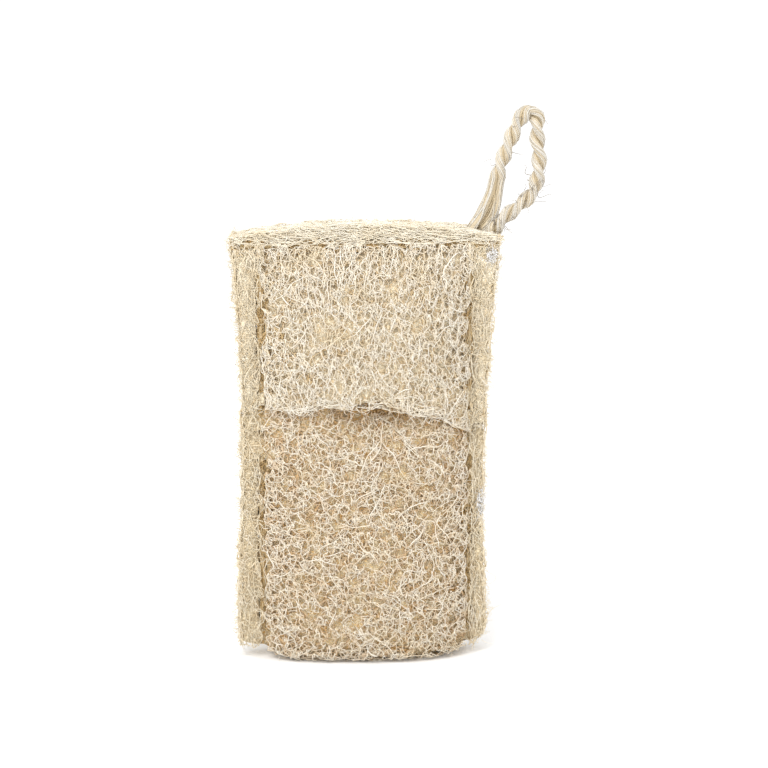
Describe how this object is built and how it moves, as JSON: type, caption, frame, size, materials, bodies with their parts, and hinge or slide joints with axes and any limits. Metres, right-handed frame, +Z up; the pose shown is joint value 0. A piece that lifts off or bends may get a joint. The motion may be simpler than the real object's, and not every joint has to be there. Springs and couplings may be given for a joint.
{
  "type": "loofah soap pouch",
  "caption": "Flat pouch sewn from natural loofah sponge, with a flap over the soap pocket, raw hems and a twisted rope loop for hanging",
  "frame": {"origin": "on the ground, under the middle of the flat stretch of the folded base", "axes": "+Z is up, from the folded base to the top hem and the hanging loop. -Y is the front, with the flap and the pocket's mouth. +X is to the right as seen from the front, the side with the loop."},
  "size_m": [0.1044, 0.0308, 0.1858],
  "materials": {
    "loofah": "open net of dry, pale cream plant fibres with small brown pores",
    "loofah_flap": "the same fibre net, a little paler and closer",
    "sisal": "twisted strands of pale, faintly glossy plant fibre",
    "thread": "matt cream sewing thread"
  },
  "bodies": {
    "root": {"folded_sheet": "loofah", "flap": "loofah_flap", "hang_loop": "sisal", "left_seam_thread": "thread", "right_seam_thread": "thread", "top_seam_thread": "thread"}
  },
  "joints": []
}
